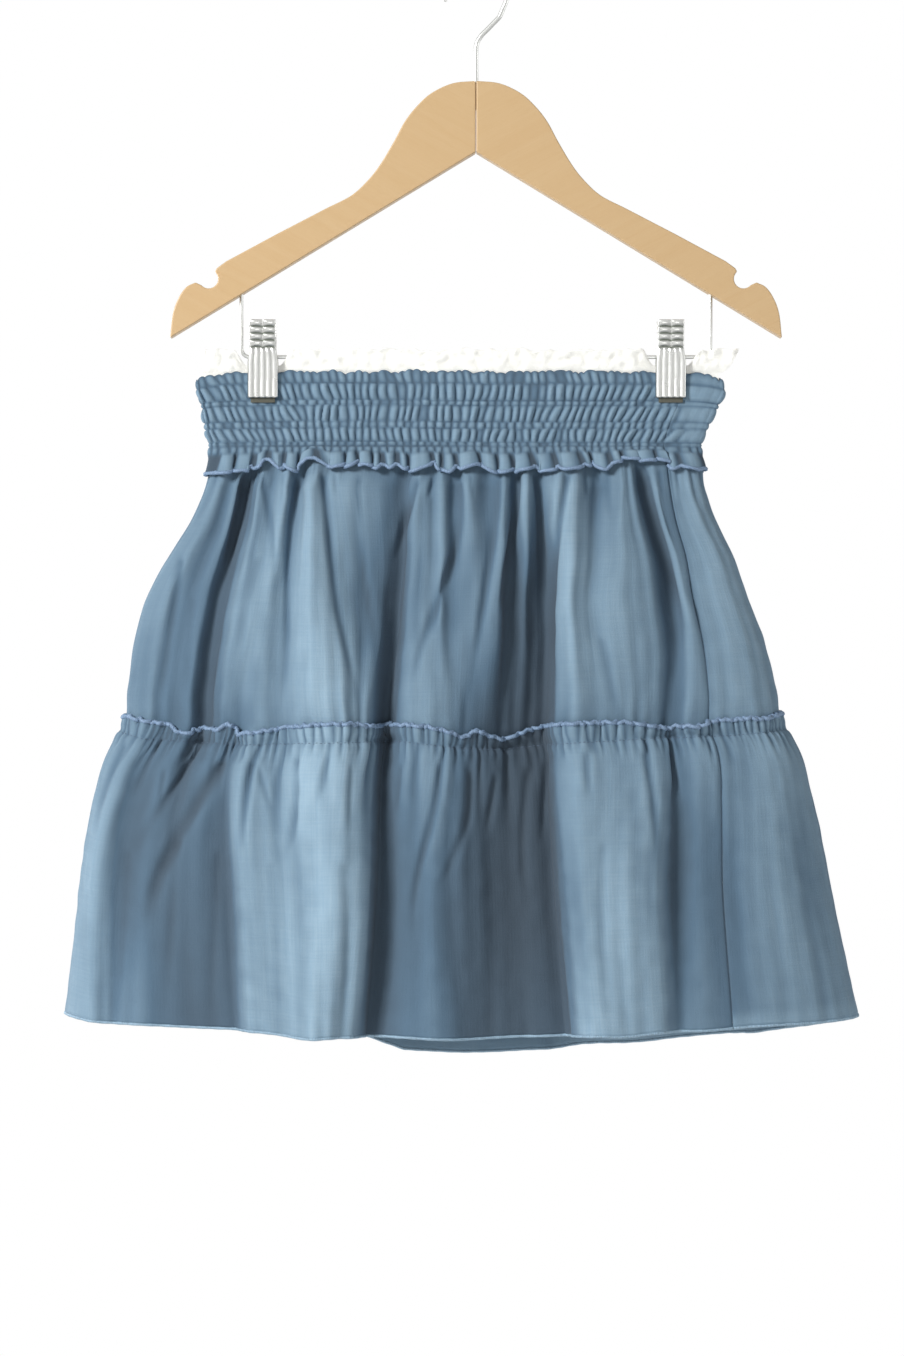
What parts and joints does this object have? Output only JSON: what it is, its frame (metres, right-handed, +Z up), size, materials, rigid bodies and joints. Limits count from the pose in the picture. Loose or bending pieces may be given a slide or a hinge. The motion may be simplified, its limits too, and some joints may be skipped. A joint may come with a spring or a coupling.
{
  "type": "tiered skirt on a wooden clip hanger",
  "caption": "Short gathered skirt with a shirred waistband and two tiers with small frills, held by the clips of a wooden hanger with a steel hook.",
  "frame": {"origin": "where the hook rests on a rail: the inside of the top of the hook", "axes": "+X to the right as the skirt's front is seen, along the hanger; +Y to the back of the skirt; +Z up"},
  "size_m": [0.4906, 0.1569, 0.686],
  "materials": {
    "blue_cotton": "matt, finely slubbed cotton",
    "cream_facing": "matt, crumpled",
    "wood": "satin lacquer",
    "chromed_steel": "bright",
    "rubber_pad": "matt"
  },
  "bodies": {
    "root": {"hanger_arm_left": "wood", "hanger_arm_right": "wood", "hanger_hook": "chromed_steel", "clip_rod": "chromed_steel", "clip_left_jaw_front": "chromed_steel", "clip_left_jaw_back": "chromed_steel", "clip_left_spring": "chromed_steel", "clip_left_pad_front": "rubber_pad", "clip_left_pad_back": "rubber_pad", "clip_right_jaw_front": "chromed_steel", "clip_right_jaw_back": "chromed_steel", "clip_right_spring": "chromed_steel", "clip_right_pad_front": "rubber_pad", "clip_right_pad_back": "rubber_pad", "waistband_front": "blue_cotton", "waistband_back": "blue_cotton", "upper_tier_front": "blue_cotton", "upper_tier_back": "blue_cotton", "lower_tier_front": "blue_cotton", "lower_tier_back": "blue_cotton", "waist_facing": "cream_facing"}
  },
  "joints": []
}
